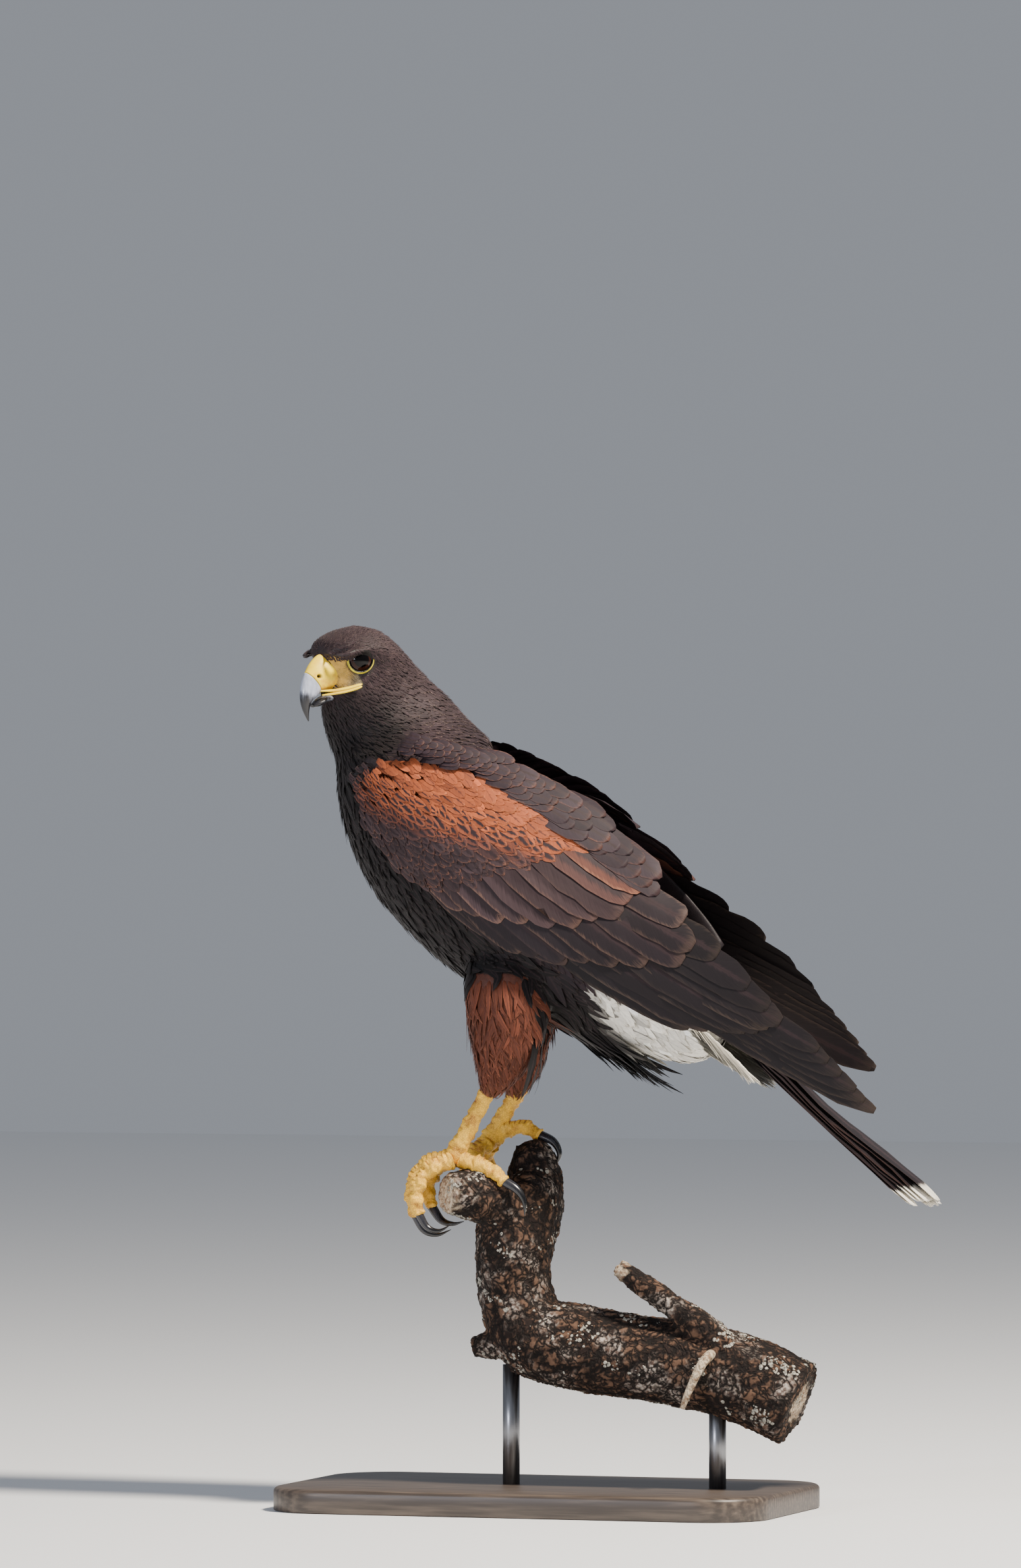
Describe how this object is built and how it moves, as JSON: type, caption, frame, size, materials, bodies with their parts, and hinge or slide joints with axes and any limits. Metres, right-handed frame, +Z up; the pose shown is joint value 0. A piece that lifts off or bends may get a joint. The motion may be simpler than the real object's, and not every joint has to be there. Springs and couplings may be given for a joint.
{
  "type": "harris's hawk on a perch",
  "caption": "Life-size perched hawk with folded wings, head turned to its left, gripping a cut fork of branch that is held over a flat display stand.",
  "frame": {"origin": "centre of the underside of the stand's base, on the floor", "axes": "+Z up; the bird faces -X with its left side towards -Y; the tail points to +X and down"},
  "size_m": [0.388, 0.17, 0.5162],
  "materials": {
    "plumage_dark": "matte feathers",
    "plumage_rufous": "matte feathers",
    "plumage_white": "matte feathers",
    "cere_skin": "waxy bare skin",
    "bill_horn": "smooth horn",
    "eye_brown": "wet gloss",
    "foot_skin": "scaly bare skin",
    "claw_horn": "smooth horn",
    "bark": "rough bark",
    "stand_wood": "satin",
    "stand_metal": "satin"
  },
  "bodies": {
    "root": {"head": "plumage_dark", "neck": "plumage_dark", "torso": "plumage_dark", "cere": "cere_skin", "bill_upper": "bill_horn", "bill_lower": "bill_horn", "tail": "plumage_dark", "tail_coverts": "plumage_white", "perch": "bark", "stand_base": "stand_wood", "stand_rod_front": "stand_metal", "stand_rod_back": "stand_metal", "eye_left": "eye_brown", "wing_left": "plumage_dark", "thigh_left": "plumage_rufous", "foot_left": "foot_skin", "claw_left_hind": "claw_horn", "claw_left_inner": "claw_horn", "claw_left_middle": "claw_horn", "claw_left_outer": "claw_horn", "eye_right": "eye_brown", "wing_right": "plumage_dark", "thigh_right": "plumage_rufous", "foot_right": "foot_skin", "claw_right_hind": "claw_horn", "claw_right_inner": "claw_horn", "claw_right_middle": "claw_horn", "claw_right_outer": "claw_horn"}
  },
  "joints": []
}
